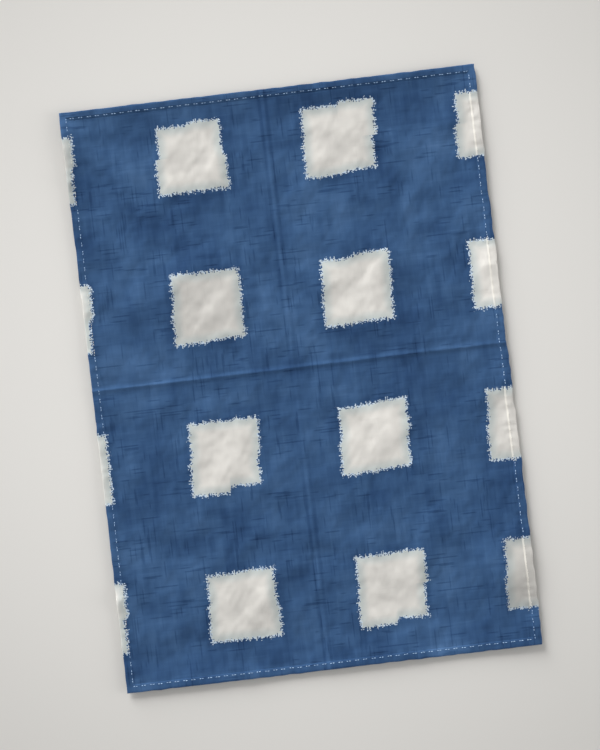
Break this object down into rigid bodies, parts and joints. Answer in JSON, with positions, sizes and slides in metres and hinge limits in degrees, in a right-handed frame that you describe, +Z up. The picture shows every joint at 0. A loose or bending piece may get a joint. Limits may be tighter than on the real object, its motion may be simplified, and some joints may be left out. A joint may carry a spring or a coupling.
{
  "type": "shibori dyed cloth",
  "caption": "Flat rectangular cotton cloth dyed blue around rows of undyed squares, with a narrow stitched hem on every side and soft storage creases.",
  "frame": {"origin": "on the surface the cloth lies on, below the middle of the cloth", "axes": "+X across the cloth to its right side, +Y along it to its head, +Z up from the surface through the face side"},
  "size_m": [0.5011, 0.7008, 0.0078],
  "materials": {
    "indigo_cotton": "matte plain-weave cotton with slubs, dyed indigo around undyed squares",
    "stitching_thread": "matte pale cotton thread"
  },
  "bodies": {
    "root": {"cloth": "indigo_cotton"}
  },
  "joints": []
}
